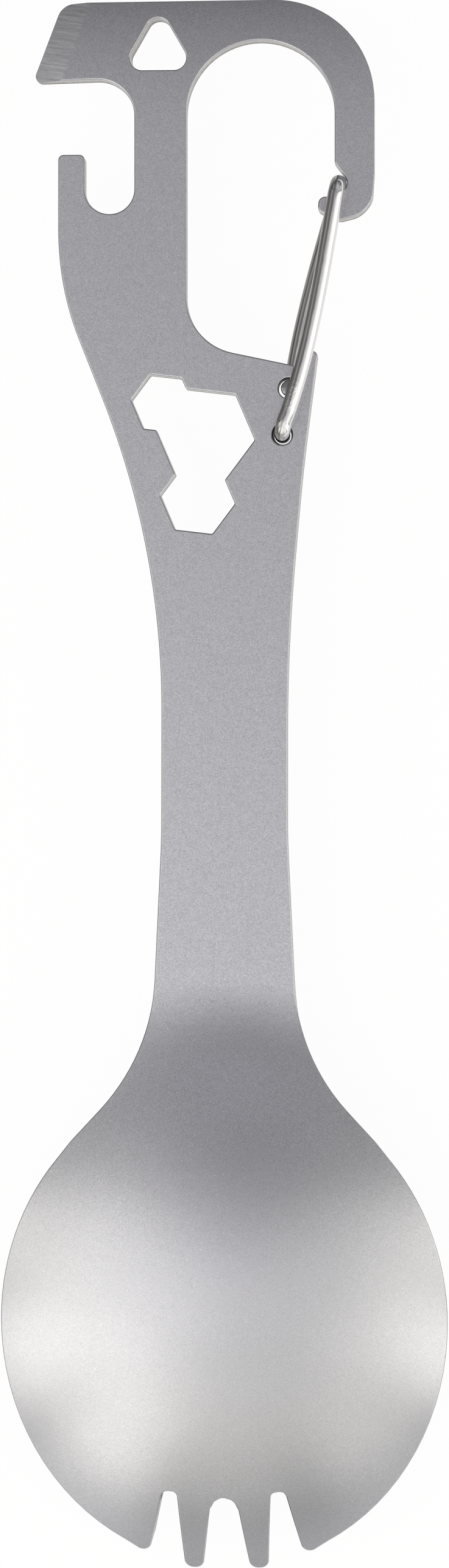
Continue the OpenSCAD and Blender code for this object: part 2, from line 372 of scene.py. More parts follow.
    def keys(self) -> list[Vector]:
        """The three key cut-outs as one outline, with eased corners.

        Returns:
            Its points.
        """
        large = self.hexagon(self.large_key, 8)
        small = self.hexagon(self.small_key, 5)
        medium = self.hexagon(self.medium_key, 6)
        path = [
            *large[:2],
            _crossing(large, 1, small, 0),
            *small[1:5],
            _crossing(small, 4, large, 3),
            _crossing(large, 3, medium, 2),
            *medium[3:],
            medium[0],
            _crossing(medium, 0, large, 5),
        ]
        return self.pen.closed([Corner(p.x, p.y, self.key_ease) for p in path])

    def loops(self) -> list[list[Vector]]:
        """Every closed outline: the plate's own and its holes'.

        Returns:
            The points of each.
        """
        pivots = [
            [c.point for c in self.pen.round(at, self.pivot_r, 0.0, 360.0)[:-1]]
            for at in (self.pivot_low, self.pivot_high)
        ]
        return [self.outer(), self.triangle(), self.keys(), *pivots]


def _crossing(first: list[Vector], i: int, second: list[Vector], j: int) -> Vector:
    """Finds where two sides of two hexagons cross, also just past their ends.

    Args:
        first: the corners of one hexagon.
        i: its side, by the corner that it starts from.
        second: the corners of the other.
        j: its side.

    Returns:
        The crossing.
    """
    lines = [first[i], first[(i + 1) % 6], second[j], second[(j + 1) % 6]]
    return intersect_line_line(*(p.to_3d() for p in lines))[0].to_2d()


@dataclass(frozen=True)
class PressedSheet:
    """The surface that the press gives the flat sheet: a dome that a bend joins to the handle.

    Attributes:
        thickness: the sheet's thickness.
        dome_r: the dome's radius on the middle surface.
        drop: how far the ball's centre lies under the handle's middle plane.
        crown_y: where the dome's crown is.
        bend_r: the bend's radius on the middle surface.
        shoulder_y: from the tines to here the sheet follows the dome out to its rim.
        shoulder_ease: how far the change to the bend takes from there.
        flat_run: how far past the bend the sheet is still treated as pressed.
        probe: half the distance over which its slope is measured.
    """

    thickness: float = 2.0
    dome_r: float = 38.8
    drop: float = 31.80
    crown_y: float = -46.5
    bend_r: float = 20.0
    shoulder_y: float = -37.0
    shoulder_ease: float = 5.0
    flat_run: float = 0.4
    probe: float = 0.002

    @property
    def angle(self) -> float:
        """Slope where the dome meets the bend, in radians."""
        return math.acos((self.drop + self.bend_r) / (self.dome_r + self.bend_r))

    @property
    def bend_out(self) -> float:
        """Distance from the dome's axis where the sheet is flat again."""
        return (self.dome_r + self.bend_r) * math.sin(self.angle)

    @property
    def flat_y(self) -> float:
        """The sheet is flat from here to the head."""
        return self.crown_y + self.bend_out + self.flat_run

    def height(self, x: float, y: float) -> float:
        """Height of the pressed front face over the handle's middle plane.

        Args:
            x: place across.
            y: place along.

        Returns:
            The height.
        """
        far = math.hypot(x, y - self.crown_y)
        half = self.thickness / 2
        ball = self.dome_r + half
        dome = math.sqrt(ball * ball - far * far) - self.drop
        if far <= ball * math.sin(self.angle) or y < self.shoulder_y:
            return dome
        bend = half
        if far < self.bend_out:
            inner = self.bend_r - half
            bend = self.bend_r - math.sqrt(inner * inner - (self.bend_out - far) ** 2)
        share = min(1.0, (y - self.shoulder_y) / self.shoulder_ease)
        share = share * share * (3 - 2 * share)
        return dome + (bend - dome) * share

    def place(self, flat: Vector) -> Vector:
        """Carries a point of the flat sheet onto the pressed one.

        Seen from the front a point of the front face stays where it is, and the points under it
        follow square to the sheet.

        Args:
            flat: the point in the flat sheet, with its height over the middle plane.

        Returns:
            The same point after the press.
        """
        if flat.y > self.flat_y:
            return flat.copy()
        x, y, step = flat.x, flat.y, self.probe
        slope_x = (self.height(x + step, y) - self.height(x - step, y)) / (2 * step)
        slope_y = (self.height(x, y + step) - self.height(x, y - step)) / (2 * step)
        normal = Vector((-slope_x, -slope_y, 1.0)).normalized()
        return Vector((x, y, self.height(x, y))) + normal * (flat.z - self.thickness / 2)


def add_noise(
    tree: bpy.types.NodeTree,
    vector: bpy.types.NodeSocket,
    scale: float,
    detail: float,
    rough: float = 0.5,
) -> bpy.types.NodeSocket:
    """Adds a noise texture.

    Args:
        tree: the node tree.
        vector: its coordinates.
        scale: its scale.
        detail: its octaves.
        rough: how strong its fine octaves are.

    Returns:
        Its value socket.
    """
    node = tree.nodes.new("ShaderNodeTexNoise")
    node.inputs["Scale"].default_value = scale
    node.inputs["Detail"].default_value = detail
    node.inputs["Roughness"].default_value = rough
    tree.links.new(vector, node.inputs["Vector"])
    return node.outputs["Fac"]


def add_range(
    tree: bpy.types.NodeTree,
    value: bpy.types.NodeSocket,
    low: float,
    high: float,
    to_low: float = 0.0,
    to_high: float = 1.0,
) -> bpy.types.NodeSocket:
    """Adds a clamped map range.

    Args:
        tree: the node tree.
        value: the value to map.
        low: the value that becomes to_low.
        high: the value that becomes to_high.
        to_low: the lowest result.
        to_high: the highest result.

    Returns:
        The mapped value.
    """
    node = tree.nodes.new("ShaderNodeMapRange")
    node.inputs["From Min"].default_value = low
    node.inputs["From Max"].default_value = high
    node.inputs["To Min"].default_value = to_low
    node.inputs["To Max"].default_value = to_high
    tree.links.new(value, node.inputs["Value"])
    return node.outputs["Result"]


def add_math(
    tree: bpy.types.NodeTree,
    operation: str,
    *values: bpy.types.NodeSocket | float,
    clamp: bool = False,
) -> bpy.types.NodeSocket:
    """Adds a math node.

    Args:
        tree: the node tree.
        operation: Blender's name of the operation.
        values: its values or sockets, as many as the operation takes.
        clamp: whether the result stays between 0 and 1.

    Returns:
        The result.
    """
    node = tree.nodes.new("ShaderNodeMath")
    node.operation = operation
    node.use_clamp = clamp
    for i, value in enumerate(values):
        if isinstance(value, bpy.types.NodeSocket):
            tree.links.new(value, node.inputs[i])
        else:
            node.inputs[i].default_value = value
    return node.outputs[0]


def add_mix(
    tree: bpy.types.NodeTree,
    factor: bpy.types.NodeSocket,
    first: bpy.types.NodeSocket | tuple[float, float, float],
    second: bpy.types.NodeSocket | tuple[float, float, float],
    blend: str = "MIX",
) -> bpy.types.NodeSocket:
    """Adds a colour mix.

    Args:
        tree: the node tree.
        factor: 0 for the first colour, 1 for the second.
        first: a colour or its socket.
        second: a colour or its socket.
        blend: Blender's name of the way to mix.

    Returns:
        The mixed colour.
    """
    node = tree.nodes.new("ShaderNodeMix")
    node.data_type = "RGBA"
    node.blend_type = blend
    tree.links.new(factor, node.inputs["Factor"])
    for name, value in (("A", first), ("B", second)):
        socket = [s for s in node.inputs if s.name == name and s.type == "RGBA"][0]
        if isinstance(value, bpy.types.NodeSocket):
            tree.links.new(value, socket)
        else:
            socket.default_value = (*value, 1.0)
    return [s for s in node.outputs if s.type == "RGBA"][0]


def add_bump(
    tree: bpy.types.NodeTree,
    height: bpy.types.NodeSocket,
    depth: float,
    strength: float,
    under: bpy.types.NodeSocket | None = None,
) -> bpy.types.NodeSocket:
    """Adds a bump node.

    Args:
        tree: the node tree.
        height: the height, from 0 to 1.
        depth: the height of 1, in millimetres.
        strength: how strongly it shows.
        under: a normal that it adds to.

    Returns:
        The bumped normal.
    """
    node = tree.nodes.new("ShaderNodeBump")
    node.inputs["Strength"].default_value = strength
    node.inputs["Distance"].default_value = depth * MM
    tree.links.new(height, node.inputs["Height"])
    if under is not None:
        tree.links.new(under, node.inputs["Normal"])
    return node.outputs["Normal"]


@dataclass(frozen=True)
class EffectGroup:
    """A node group that several finishes share, built once.

    Attributes:
        name: the group's name.
    """

    name: str

    def tree(self) -> bpy.types.NodeTree:
        """Finds the group, or builds it the first time.

        Returns:
            The group's tree.
        """
        found = bpy.data.node_groups.get(self.name)
        if found is not None:
            return found
        tree = bpy.data.node_groups.new(self.name, "ShaderNodeTree")
        tree.interface.new_socket("Vector", in_out="INPUT", socket_type="NodeSocketVector")
        vector = tree.nodes.new("NodeGroupInput").outputs["Vector"]
        result = tree.nodes.new("NodeGroupOutput")
        for name, value in self.effect(tree, vector).items():
            tree.interface.new_socket(name, in_out="OUTPUT", socket_type="NodeSocketFloat")
            tree.links.new(value, result.inputs[name])
        return tree

    def effect(
        self, tree: bpy.types.NodeTree, vector: bpy.types.NodeSocket
    ) -> dict[str, bpy.types.NodeSocket]:
        """Builds the group's nodes. Each effect has its own.

        Args:
            tree: the group's tree.
            vector: the coordinates that the group is given.

        Returns:
            What the group puts out, by name.
        """
        raise NotImplementedError

    def place(self, tree: bpy.types.NodeTree, vector: bpy.types.NodeSocket) -> bpy.types.Node:
        """Puts the group into a material.

        Args:
            tree: the material's tree.
            vector: the coordinates it reads.

        Returns:
            The group's node.
        """
        node = tree.nodes.new("ShaderNodeGroup")
        node.node_tree = self.tree()
        tree.links.new(vector, node.inputs["Vector"])
        return node


@dataclass(frozen=True)
class BlastGrain(EffectGroup):
    """The fine even pitting that blasting with beads leaves.

    Attributes:
        pit: size of the pits.
        patch: size of the patches that were blasted a little more or less.
        patch_share: how much the patches add to the pits' height.
        pit_share: how much of the mottling comes from the pits.
        spot: size of the spots, the highest of which are bright specks.
        speck_from: a spot's height where a speck starts.
        speck_full: its height where the speck is at its brightest.
    """

    name: str = "blast_grain"
    pit: float = 0.11
    patch: float = 0.42
    patch_share: float = 0.5
    pit_share: float = 0.86
    spot: float = 0.21
    speck_from: float = 0.79
    speck_full: float = 0.86

    def effect(
        self, tree: bpy.types.NodeTree, vector: bpy.types.NodeSocket
    ) -> dict[str, bpy.types.NodeSocket]:
        """Builds the pits' height, the mottling of the tone and the few bright specks.

        Args:
            tree: the group's tree.
            vector: the coordinates that the group is given.

        Returns:
            What the group puts out, by name.
        """
        pits = add_noise(tree, vector, 1 / (self.pit * MM), 2.0, 0.6)
        patches = add_noise(tree, vector, 1 / (self.patch * MM), 2.0, 0.6)
        fine = add_range(tree, pits, 0.3, 0.7, 0.0, self.pit_share)
        wide = add_range(tree, patches, 0.3, 0.7, 0.0, 1 - self.pit_share)
        spots = add_noise(tree, vector, 1 / (self.spot * MM), 0.0)
        return {
            "Height": add_math(tree, "MULTIPLY_ADD", patches, self.patch_share, pits),
            "Mottle": add_math(tree, "ADD", fine, wide, clamp=True),
            "Speck": add_range(tree, spots, self.speck_from, self.speck_full),
        }


@dataclass(frozen=True)
class ToolMarks(EffectGroup):
    """Straight marks of many widths side by side, such as grinding or shearing leaves.

    Attributes:
        broad: how many broad marks there are for one fine one.
        broad_share: how much they add to the fine ones' height.
    """

    name: str = "tool_marks"
    broad: float = 0.31
    broad_share: float = 0.8

    def effect(
        self, tree: bpy.types.NodeTree, vector: bpy.types.NodeSocket
    ) -> dict[str, bpy.types.NodeSocket]:
        """Builds the marks.

        Args:
            tree: the group's tree.
            vector: the coordinates, in mark lengths along the marks and widths across them.

        Returns:
            What the group puts out, by name.
        """
        fine = add_noise(tree, vector, 1.0, 3.0, 0.6)
        broad = add_noise(tree, vector, self.broad, 1.0)
        height = add_math(tree, "MULTIPLY_ADD", broad, self.broad_share, fine)
        return {"Height": height, "Tone": add_range(tree, height, 0.6, 1.2)}


@dataclass(frozen=True)
class Finish:
    """A finish of the metal. Each finish has its own way to lay out its nodes.

    Attributes:
        name: the material's name.
        colour: the metal's colour.
        roughness: its roughness.
    """

    name: str
    colour: tuple[float, float, float]
    roughness: float

    def material(self) -> bpy.types.Material:
        """Finds the finish's material, or builds it the first time.

        Returns:
            The material.
        """
        found = bpy.data.materials.get(self.name)
        if found is not None:
            return found
        made = bpy.data.materials.new(self.name)
        made.use_nodes = True
        tree = made.node_tree
        shader = tree.nodes["Principled BSDF"]
        shader.inputs["Metallic"].default_value = 1.0
        shader.inputs["Roughness"].default_value = self.roughness
        shader.inputs["Base Color"].default_value = (*self.colour, 1.0)
        made.diffuse_color = (*self.colour, 1.0)
        made.metallic = 1.0
        made.roughness = self.roughness
        self.lay(tree, shader)
        return made

    def lay(self, tree: bpy.types.NodeTree, shader: bpy.types.Node) -> None:
        """Lays the finish's nodes. Each finish has its own.

        Args:
            tree: the material's tree.
            shader: its Principled shader.
        """
        raise NotImplementedError

    def tint(self, share: float) -> tuple[float, float, float]:
        """The finish's colour, lighter or darker by a share."""
        return tuple(min(1.0, c * share) for c in self.colour)

    @staticmethod
    def coordinates(tree: bpy.types.NodeTree) -> bpy.types.NodeSocket:
        """The piece's own coordinates, in metres."""
        return tree.nodes.new("ShaderNodeTexCoord").outputs["Object"]

    @staticmethod
    def turned(
        tree: bpy.types.NodeTree,
        vector: bpy.types.NodeSocket,
        at: tuple[float, float, float],
        turn: float,
        sizes: tuple[float, float, float],
    ) -> bpy.types.NodeSocket:
        """Centres and turns coordinates, and measures them in the given sizes.

        Args:
            tree: the node tree.
            vector: the coordinates.
            at: the new centre, in the frame, in metres.
            turn: the new X axis's direction, in degrees.
            sizes: what counts as 1 along each new axis, in millimetres.

        Returns:
            The new coordinates.
        """
        node = tree.nodes.new("ShaderNodeMapping")
        node.vector_type = "TEXTURE"
        node.inputs["Location"].default_value = at
        node.inputs["Rotation"].default_value = (0.0, 0.0, math.radians(turn))
        node.inputs["Scale"].default_value = tuple(s * MM for s in sizes)
        tree.links.new(vector, node.inputs["Vector"])
        return node.outputs["Vector"]

    @staticmethod
    def split(tree: bpy.types.NodeTree, vector: bpy.types.NodeSocket) -> bpy.types.Node:
        """Splits coordinates into X, Y and Z.

        Args:
            tree: the node tree.
            vector: the coordinates.

        Returns:
            The node, with its three outputs.
        """
        node = tree.nodes.new("ShaderNodeSeparateXYZ")
        tree.links.new(vector, node.inputs[0])
        return node

    @staticmethod
    def attribute(tree: bpy.types.NodeTree, name: str) -> bpy.types.NodeSocket:
        """Reads a value that the piece's mesh carries.

        Args:
            tree: the node tree.
            name: the value's name.

        Returns:
            The value.
        """
        node = tree.nodes.new("ShaderNodeAttribute")
        node.attribute_name = name
        return node.outputs["Fac"]


@dataclass(frozen=True)
class BlastedFace(Finish):
    """The bead-blasted faces of the plate, rubbed a little brighter along their edges.

    Attributes:
        swing: how far the grain's roughness swings to either side.
        contrast: how far its tone swings to either side.
        bowl_grain: the grain's strength in the bowl, where the press has flattened it.
        full_grain: its strength on the handle and the head.
        tine_grain: what it gains on the tines.
        pit_depth: the pits' depth.
        speck_share: how much the brightest specks show.
        speck_tone: their tone.
        wear_share: how much the wear shows along the edges.
        worn: how much brighter the worn metal is.
        press_reach: between these places along the piece the grain comes back to full strength.
        root_reach: between these the tines' grain gets coarser.
        head_shade_reach: between these places painted shade darkens the tone towards the head's end.
        head_shade: how dark the painted shade gets there.
        tine_reach: between these places painted shade darkens the tone towards the tines' ends.
        tine_shade: how dark the painted shade gets there.
        ground: whether the face carries the driver tip's grinding marks.
        grind_at: a point on the line where the grinding starts.
        grind_turn: the direction from that line to the tip's edge, in degrees.
        grind_ragged: how far the grinding's border wanders.
        grind_depth: the depth of its marks.
        marks_turn: their direction, in degrees.
        marks_size: their length, width and depth.
        marks_dark: the tone of the darkest mark.
        marks_light: the tone of the lightest.
    """

    colour: tuple[float, float, float] = (0.472, 0.467, 0.495)
    roughness: float = 0.36
    swing: float = 0.03
    contrast: float = 0.25
    bowl_grain: float = 0.5
    full_grain: float = 0.95
    tine_grain: float = 0.2
    pit_depth: float = 0.012
    speck_share: float = 0.3
    speck_tone: float = 0.86
    wear_share: float = 0.5
    worn: float = 1.35
    press_reach: tuple[float, float] = (-45.0, -33.0)
    root_reach: tuple[float, float] = (-59.0, -66.0)
    head_shade_reach: tuple[float, float] = (60.0, 74.5)
    head_shade: float = 0.58
    tine_reach: tuple[float, float] = (-66.5, -74.5)
    tine_shade: float = 0.76
    ground: bool = False
    grind_at: tuple[float, float] = (0.0, 0.0)
    grind_turn: float = 0.0
    grind_ragged: float = 0.3
    grind_depth: float = 0.014
    marks_turn: float = -13.0
    marks_size: tuple[float, float, float] = (1.9, 0.07, 1.0)
    marks_dark: float = 0.93
    marks_light: float = 1.5

    def lay(self, tree: bpy.types.NodeTree, shader: bpy.types.Node) -> None:
        """Lays grain, worn edges, painted shade towards both ends and, on the front, the grinding
        marks.

        Args:
            tree: the material's tree.
            shader: its Principled shader.
        """
        vector = self.coordinates(tree)
        grain = BlastGrain().place(tree, vector)
        along = self.split(tree, vector).outputs["Y"]
        tone = self.worn_grain(tree, grain, along)
        ends = (self.roughness + self.swing, self.roughness - self.swing)
        rough = add_range(tree, grain.outputs["Mottle"], 0.0, 1.0, *ends)
        normal = add_bump(tree, grain.outputs["Height"], self.pit_depth, 0.5)
        if self.ground:
            tone, rough, normal = self.grind(tree, vector, tone, rough, normal)
        # Painted shade: the tone darkens towards the head's end and towards the tines' ends.
        for reach, shade in ((self.head_shade_reach, self.head_shade), (self.tine_reach, self.tine_shade)):
            scale = self.grows(tree, along, reach)
            scale = add_math(tree, "MULTIPLY", scale, scale)
            tone = add_mix(tree, scale, tone, (shade,) * 3, "MULTIPLY")
        tree.links.new(tone, shader.inputs["Base Color"])
        tree.links.new(rough, shader.inputs["Roughness"])
        tree.links.new(normal, shader.inputs["Normal"])

    @staticmethod
    def grows(
        tree: bpy.types.NodeTree,
        along: bpy.types.NodeSocket,
        reach: tuple[float, float],
        to_low: float = 0.0,
        to_high: float = 1.0,
    ) -> bpy.types.NodeSocket:
        """Adds a value that changes between two places along the piece.

        Args:
            tree: the node tree.
            along: the place along the piece, in metres.
            reach: the two places.
            to_low: the value at the first.
            to_high: the value at the second.

        Returns:
            The value.
        """
        return add_range(tree, along, reach[0] * MM, reach[1] * MM, to_low, to_high)

    def worn_grain(
        self, tree: bpy.types.NodeTree, grain: bpy.types.Node, along: bpy.types.NodeSocket
    ) -> bpy.types.NodeSocket:
        """Adds the grain's tone, its bright specks and the wear along the edges.

        Args:
            tree: the node tree.
            grain: the grain's node.
            along: the place along the piece, in metres.

        Returns:
            The tone.
        """
        strength = self.grows(tree, along, self.press_reach, self.bowl_grain, self.full_grain)
        coarser = self.grows(tree, along, self.root_reach, 0.0, self.tine_grain)
        strength = add_math(tree, "ADD", strength, coarser)
        swing = add_math(tree, "SUBTRACT", grain.outputs["Mottle"], 0.5)
        mottle = add_math(tree, "MULTIPLY_ADD", swing, strength, 0.5)
        tone = add_mix(tree, mottle, self.tint(1 - self.contrast), self.tint(1 + self.contrast))
        speck = add_math(tree, "MULTIPLY", grain.outputs["Speck"], self.speck_share)
        speck = add_math(tree, "MULTIPLY", speck, strength)
        tone = add_mix(tree, speck, tone, (self.speck_tone,) * 3)
        wear = add_math(tree, "MULTIPLY", self.attribute(tree, "rim"), self.wear_share)
        return add_mix(tree, wear, tone, self.tint(self.worn))

    def grind(
        self,
        tree: bpy.types.NodeTree,
        vector: bpy.types.NodeSocket,
        tone: bpy.types.NodeSocket,
        rough: bpy.types.NodeSocket,
        normal: bpy.types.NodeSocket,
    ) -> tuple[bpy.types.NodeSocket, bpy.types.NodeSocket, bpy.types.NodeSocket]:
        """Grinds the driver tip, with fine lines and a ragged border.

        Args:
            tree: the node tree.
            vector: the piece's coordinates.
            tone: the blasted face's tone.
            rough: its roughness.
            normal: its normal.

        Returns:
            Tone, roughness and normal with the ground tip.
        """
        start = tuple(TO_FRAME @ Vector((*self.grind_at, 0.0)))
        place = self.turned(tree, vector, start, self.grind_turn, (1.0, 1.0, 1.0))
        into = self.split(tree, place).outputs["X"]
        lines = self.turned(tree, vector, (0.0, 0.0, 0.0), self.marks_turn, self.marks_size)
        marks = ToolMarks().place(tree, lines)
        ragged = add_math(tree, "MULTIPLY_ADD", marks.outputs["Tone"], self.grind_ragged, into)
        mask = add_range(tree, ragged, 0.0, 0.3)
        metal = add_mix(
            tree, marks.outputs["Tone"], self.tint(self.marks_dark), self.tint(self.marks_light)
        )
        tone = add_mix(tree, mask, tone, metal)
        smooth = add_math(tree, "MULTIPLY", mask, 0.1)
        rough = add_math(tree, "SUBTRACT", rough, smooth, clamp=True)
        height = add_math(tree, "MULTIPLY", marks.outputs["Height"], add_range(tree, into, 0.0, 0.5))
        return tone, rough, add_bump(tree, height, self.grind_depth, 0.35, normal)


@dataclass(frozen=True)
class ShearedWall(Finish):
    """The punched walls: burnished under one face, broken and duller under the other.

    Attributes:
        broken: the colour of the broken band.
        duller: how much rougher that band is.
        mark_w: width of the shear marks.
        mark_change: how far they change from the middle of the wall to its edge.
        border: between these levels, from -1 at the back to 1 at the front, the bands meet.
        ragged: how far that border wanders.
    """

    name: str = "sheared_wall"
    colour: tuple[float, float, float] = (0.345, 0.335, 0.315)
    roughness: float = 0.28
    broken: tuple[float, float, float] = (0.26, 0.248, 0.23)
    duller: float = 0.12
    mark_w: float = 0.11
    mark_change: float = 0.35
    border: tuple[float, float] = (-0.5, 0.3)
    ragged: float = 0.12

    def lay(self, tree: bpy.types.NodeTree, shader: bpy.types.Node) -> None:
        """Lays the upright shear marks and the two bands of a punched edge.

        Args:
            tree: the material's tree.
            shader: its Principled shader.
        """
        level = self.attribute(tree, "level")
        place = self.split(tree, self.coordinates(tree))
        lines = tree.nodes.new("ShaderNodeCombineXYZ")
        for axis in ("X", "Y"):
            across = add_math(tree, "DIVIDE", place.outputs[axis], self.mark_w * MM)
            tree.links.new(across, lines.inputs[axis])
        tree.links.new(add_math(tree, "MULTIPLY", level, self.mark_change), lines.inputs["Z"])
        marks = ToolMarks().place(tree, lines.outputs[0])
        wander = add_range(tree, marks.outputs["Tone"], 0.0, 1.0, -self.ragged, self.ragged)
        band = add_range(tree, add_math(tree, "ADD", level, wander), *self.border)
        tone = add_mix(tree, marks.outputs["Tone"], self.tint(0.82), self.tint(1.12))
        dark = tuple(0.75 * c for c in self.broken)
        broken = add_mix(tree, marks.outputs["Tone"], dark, self.broken)
        tree.links.new(add_mix(tree, band, broken, tone), shader.inputs["Base Color"])
        rough = add_math(tree, "MULTIPLY_ADD", band, -self.duller, self.roughness + self.duller)
        tree.links.new(rough, shader.inputs["Roughness"])
        tree.links.new(add_bump(tree, marks.outputs["Height"], 0.02, 0.5), shader.inputs["Normal"])


@dataclass(frozen=True)
class TumbledRim(Finish):
    """The rounded, tumbled edges, with painted shade darkening the side that faces away from the light.

    Attributes:
        side_shade_reach: between these values of light_facing the painted shade comes in.
        side_shade_tone: how dark the painted shade gets.
    """

    name: str = "tumbled_rim"
    colour: tuple[float, float, float] = (0.47, 0.465, 0.48)
    roughness: float = 0.27
    side_shade_reach: tuple[float, float] = (0.15, -0.45)
    side_shade_tone: float = 0.4

    def lay(self, tree: bpy.types.NodeTree, shader: bpy.types.Node) -> None:
        """Lays a soft unevenness along the edge, and painted shade on the side that faces away from the
        light.

        Args:
            tree: the material's tree.
            shader: its Principled shader.
        """
        grain = BlastGrain().place(tree, self.coordinates(tree))
        tone = add_mix(tree, grain.outputs["Mottle"], self.tint(0.86), self.tint(1.1))
        # Painted shade: the rim darkens where it faces away from the light, by its light_facing value.
        side_shade = add_range(tree, self.attribute(tree, "light_facing"), *self.side_shade_reach)
        tone = add_mix(tree, side_shade, tone, (self.side_shade_tone,) * 3, "MULTIPLY")
        tree.links.new(tone, shader.inputs["Base Color"])
        tree.links.new(add_bump(tree, grain.outputs["Height"], 0.008, 0.5), shader.inputs["Normal"])


@dataclass(frozen=True)
class ShadedBore(Finish):
    """The inside of the pivot holes, painted dark as shade.

    Attributes:
        patch: size of the patches in the painted shade.
    """

    name: str = "shaded_bore"
    # Painted shade: the bore is coloured near black where it lies in shade.
    colour: tuple[float, float, float] = (0.05, 0.045, 0.04)
    roughness: float = 0.4
    patch: float = 0.5

    def lay(self, tree: bpy.types.NodeTree, shader: bpy.types.Node) -> None:
        """Lays uneven patches over the painted shade.

        Args:
            tree: the material's tree.
            shader: its Principled shader.
        """
        shade_patches = add_noise(tree, self.coordinates(tree), 1 / (self.patch * MM), 2.0)
        tree.links.new(add_mix(tree, shade_patches, self.tint(0.5), self.tint(1.5)), shader.inputs["Base Color"])
        tree.links.new(add_bump(tree, shade_patches, 0.03, 0.5), shader.inputs["Normal"])


@dataclass(frozen=True)
class DrawnWire(Finish):
    """Polished spring wire with a painted dark reflection along its left side and the plier's bites by
    its lower bend.

    Attributes:
        run: the direction of the gate's legs, in degrees.
        marks_size: length, width and depth of the fine marks along the wire.
        wave: size of the waves in its skin.
        dark_reflection: the colour of the painted dark reflection that runs along its left side.
        reflection_left: where it starts on its left side and where it is at its full strength, in
            wire radii across.
        reflection_right: the same for its right side, by the middle of the wire.
        highlight_at: the place of the faint painted highlight line in the painted reflection.
        highlight_half_w: half its width.
        highlight_share: the painted reflection's strength in that line.
        bites_at: the middle of the bites.
        bites_reach: how far they reach along the wire, across it and up.
        bite_turn: a bite's direction, in degrees.
        bite_size: a bite's length, width and height.
        bite_depth: its depth.
    """

    name: str = "drawn_wire"
    colour: tuple[float, float, float] = (0.76, 0.75, 0.755)
    roughness: float = 0.16
    run: float = 77.0
    marks_size: tuple[float, float, float] = (3.2, 0.07, 0.07)
    wave: float = 1.4
    dark_reflection: tuple[float, float, float] = (0.17, 0.165, 0.16)
    reflection_left: tuple[float, float] = (-1.06, -0.92)
    reflection_right: tuple[float, float] = (0.02, -0.14)
    highlight_at: float = -0.42
    highlight_half_w: float = 0.1
    highlight_share: float = 0.72
    bites_at: tuple[float, float, float] = (6.25, 36.6, 2.5)
    bites_reach: tuple[float, float, float] = (1.7, 0.8, 3.0)
    bite_turn: float = 62.0
    bite_size: tuple[float, float, float] = (0.3, 0.13, 0.2)
    bite_depth: float = 0.09

    def lay(self, tree: bpy.types.NodeTree, shader: bpy.types.Node) -> None:
        """Lays fine marks along the wire, a wavy skin, the painted dark reflection and the bites.

        Args:
            tree: the material's tree.
            shader: its Principled shader.
        """
        vector = self.coordinates(tree)
        lines = self.turned(tree, vector, (0.0, 0.0, 0.0), self.run, self.marks_size)
        marks = ToolMarks().place(tree, lines)
        waves = add_noise(tree, vector, 1 / (self.wave * MM), 1.0)
        tone = add_mix(tree, marks.outputs["Tone"], self.tint(0.93), self.tint(1.05))
        # Painted reflection: a dark band along the wire's left side, with a faint painted highlight
        # line in it.
        tone = add_mix(tree, self.dark_reflection_mask(tree, marks, waves), tone, self.dark_reflection)
        normal = add_bump(tree, marks.outputs["Height"], 0.004, 0.35)
        normal = add_bump(tree, waves, 0.03, 0.25, normal)
        away = tree.nodes.new("ShaderNodeVectorMath")
        away.operation = "LENGTH"
        middle = tuple(TO_FRAME @ Vector(self.bites_at))
        tree.links.new(self.turned(tree, vector, middle, self.run, self.bites_reach), away.inputs[0])
        mask = add_range(tree, away.outputs["Value"], 1.0, 0.55)
        bite = self.turned(tree, vector, (0.0, 0.0, 0.0), self.bite_turn, self.bite_size)
        bites = add_math(tree, "MULTIPLY", add_noise(tree, bite, 1.0, 2.0), mask)
        tree.links.new(tone, shader.inputs["Base Color"])
        rough = add_math(tree, "MULTIPLY_ADD", mask, 0.12, self.roughness)
        tree.links.new(rough, shader.inputs["Roughness"])
        tree.links.new(add_bump(tree, bites, self.bite_depth, 0.8, normal), shader.inputs["Normal"])

    def dark_reflection_mask(
        self, tree: bpy.types.NodeTree, marks: bpy.types.Node, waves: bpy.types.NodeSocket
    ) -> bpy.types.NodeSocket:
        """Adds the painted dark reflection's strength, with its painted highlight line.

        Args:
            tree: the node tree.
            marks: the node of the fine marks.
            waves: the waves that make it wander.

        Returns:
            The strength, from 0 to 1.
        """
        wander = add_range(tree, waves, 0.3, 0.7, -0.03, 0.03)
        across = add_math(tree, "ADD", self.attribute(tree, "across"), wander)
        off_highlight = add_math(tree, "ABSOLUTE", add_math(tree, "SUBTRACT", across, self.highlight_at))
        strength = add_range(tree, across, *self.reflection_right)
        for share in (
            add_range(tree, across, *self.reflection_left),
            add_range(tree, off_highlight, 0.0, self.highlight_half_w, self.highlight_share, 1.0),
            add_range(tree, marks.outputs["Tone"], 0.0, 1.0, 1.0, 0.8),
        ):
            strength = add_math(tree, "MULTIPLY", strength, share)
        return strength


def finished_object(bm: bmesh.types.BMesh, name: str, smooth_to: float) -> bpy.types.Object:
    """Turns a finished bmesh into an object at the origin of the frame.

    Args:
        bm: the mesh, in millimetres from the middle of the handle. It is freed.
        name: the object's name.
        smooth_to: edges sharper than this many degrees stay sharp.

    Returns:
        The new object.
    """
    bmesh.ops.transform(bm, matrix=TO_FRAME, verts=bm.verts[:])
    for face in bm.faces:
        face.smooth = True
    for edge in bm.edges:
        if edge.calc_face_angle(0.0) > math.radians(smooth_to):
            edge.smooth = False
    mesh = bpy.data.meshes.new(name)
    bm.to_mesh(mesh)
    bm.free()
    made = bpy.data.objects.new(name, mesh)
    bpy.context.scene.collection.objects.link(made)
    return made


def with_sides(faces: list[bmesh.types.BMFace]) -> list:
    """Adds their edges and vertices to some faces, as a cut through them needs.

    Args:
        faces: the faces.

    Returns:
        The faces, edges and vertices.
    """
    edges = {e for f in faces for e in f.edges}
    verts = {v for f in faces for v in f.verts}
    return [*faces, *edges, *verts]


